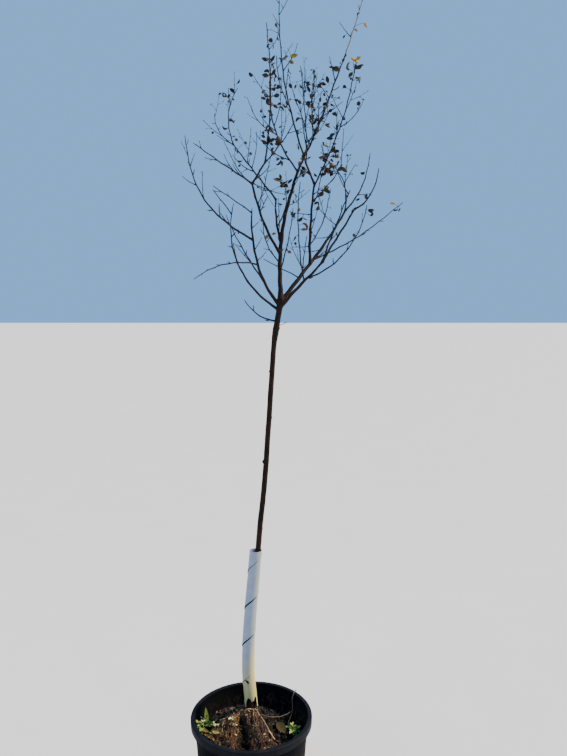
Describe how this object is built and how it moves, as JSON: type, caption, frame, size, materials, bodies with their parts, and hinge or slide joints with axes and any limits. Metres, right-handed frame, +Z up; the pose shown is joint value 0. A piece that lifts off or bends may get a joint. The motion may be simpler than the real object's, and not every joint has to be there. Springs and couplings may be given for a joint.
{
  "type": "potted sapling with root ball",
  "caption": "Young bare tree with a slim leaning trunk and an upright twiggy crown, on its root ball in a round nursery pot, with a plastic guard on the trunk's foot.",
  "frame": {"origin": "centre of the pot's flat underside", "axes": "+Z up from the underside to the crown; the pictured front looks along +Y, with +X to its right"},
  "size_m": [0.6524, 0.4951, 2.3887],
  "materials": {
    "pot_plastic": "black moulded plastic, satin, dusty",
    "guard_plastic": "pale slit plastic sleeve, weathered and soiled at its foot",
    "root_mix": "bark mix matted with fine roots, rough and dry on top",
    "bark": "smooth grey-brown young bark with pale pores",
    "dry_leaves": "curled dry leaves, dark brown with some orange and yellow"
  },
  "bodies": {
    "root": {"bough_back_left": "bark", "bough_centre": "bark", "bough_far_left": "bark", "bough_left": "bark", "bough_left_back": "bark", "bough_left_long": "bark", "bough_left_low": "bark", "bough_right": "bark", "bough_right_low": "bark", "leader": "bark", "leader_low": "bark", "leader_twin": "bark", "leaves_back_inner": "dry_leaves", "leaves_back_left": "dry_leaves", "leaves_leader": "dry_leaves", "leaves_left_middle": "dry_leaves", "leaves_left_top": "dry_leaves", "leaves_right_middle": "dry_leaves", "leaves_right_side": "dry_leaves", "leaves_right_top": "dry_leaves", "leaves_top_right": "dry_leaves", "limb_arching": "bark", "limb_back_left": "bark", "limb_left_up": "bark", "limb_right_below": "bark", "limb_right_far": "bark", "limb_right_inner": "bark", "limb_right_outer": "bark", "pot": "pot_plastic", "root_ball": "root_mix", "shoot_back_inner": "bark", "shoot_back_left": "bark", "shoot_back_left_out": "bark", "shoot_centre_left": "bark", "shoot_centre_right": "bark", "shoot_far_left": "bark", "shoot_front_centre": "bark", "shoot_front_left": "bark", "shoot_front_right": "bark", "shoot_left_fork": "bark", "shoot_left_low": "bark", "shoot_left_out": "bark", "shoot_left_tall": "bark", "shoot_right_mid": "bark", "shoot_right_out": "bark", "shoot_right_outer": "bark", "shoot_right_side": "bark", "shoot_right_tall": "bark", "shoot_right_up": "bark", "shoot_top_back": "bark", "shoot_top_right": "bark", "trunk": "bark", "trunk_guard": "guard_plastic", "twig_back_right": "bark", "twig_cross": "bark", "twig_low_left": "bark"}
  },
  "joints": []
}
